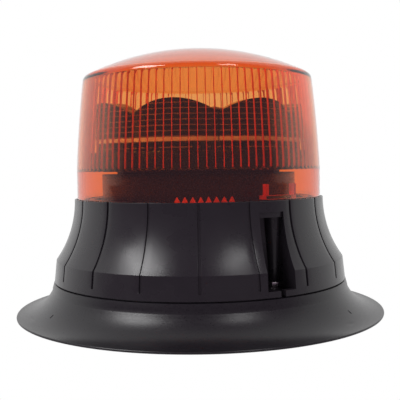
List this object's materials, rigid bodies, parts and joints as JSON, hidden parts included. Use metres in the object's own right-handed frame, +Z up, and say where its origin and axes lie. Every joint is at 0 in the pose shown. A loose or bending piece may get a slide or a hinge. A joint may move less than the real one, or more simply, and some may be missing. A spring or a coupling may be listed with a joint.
{
  "type": "warning beacon",
  "caption": "Low round warning beacon: amber twist-lock dome lens over ring-mounted LED optics, flared black housing, magnet and rubber vacuum skirt base.",
  "frame": {"origin": "centre of the plane that the rubber skirt's rim rests on", "axes": "+Z up along the beacon's axis, -Y towards the front, the lock screw's pocket right of the front at +X"},
  "size_m": [0.2, 0.2, 0.1424],
  "materials": {
    "amber_lens": "clear amber polycarbonate, polished outside, fluted inside",
    "clear_optic": "clear acrylic with a moulded prism grid",
    "black_plastic": "black moulded plastic, satin",
    "skirt_rubber": "black rubber, slightly shiny",
    "seal_rubber": "black rubber",
    "plated_steel": "zinc-plated steel",
    "bright_steel": "stainless steel screw",
    "ferrite": "grey ferrite magnet",
    "core_aluminium": "extruded aluminium",
    "black_board": "black solder mask",
    "green_board": "green solder mask",
    "led_yellow": "yellow LED package",
    "capacitor_can": "sleeved aluminium can",
    "inductor_core": "wound ferrite ring",
    "chip_black": "black moulded package",
    "terminal_green": "green terminal block",
    "wire_sleeve": "sleeved bundle of wires"
  },
  "bodies": {
    "base": {"lens_gasket": "seal_rubber", "housing": "black_plastic", "lens_lock_screw": "bright_steel", "base_plate": "black_plastic", "base_gasket": "seal_rubber", "base_screws": "bright_steel", "mount_plate": "plated_steel", "mount_screws": "bright_steel", "vacuum_skirt": "skirt_rubber", "magnet_cup": "plated_steel", "ring_magnet": "ferrite", "magnet_pad": "seal_rubber", "magnet_screw": "bright_steel", "pedestal": "black_plastic", "pedestal_screws": "bright_steel", "carrier_disc": "black_plastic", "carrier_screws": "bright_steel", "led_core": "core_aluminium", "led_board_1": "black_board", "led_board_2": "black_board", "led_board_3": "black_board", "led_board_4": "black_board", "led_board_5": "black_board", "led_board_6": "black_board", "leds": "led_yellow", "optic_ring": "clear_optic", "optic_screws": "bright_steel", "junction_board": "black_board", "driver_board": "green_board", "driver_screws": "bright_steel", "capacitors": "capacitor_can", "inductor": "inductor_core", "controller_chip": "chip_black", "terminal_block": "terminal_green", "led_harness": "wire_sleeve", "wire_grommet": "seal_rubber", "cable_gland": "seal_rubber"},
    "lens_body": {"lens": "amber_lens"}
  },
  "joints": [
    {"name": "lens_twist", "type": "hinge", "parent": "base", "child": "lens_body", "pos_m": [0, 0, 0.058], "axis": [0, 0, 1], "range_deg": [0, 22]}
  ]
}
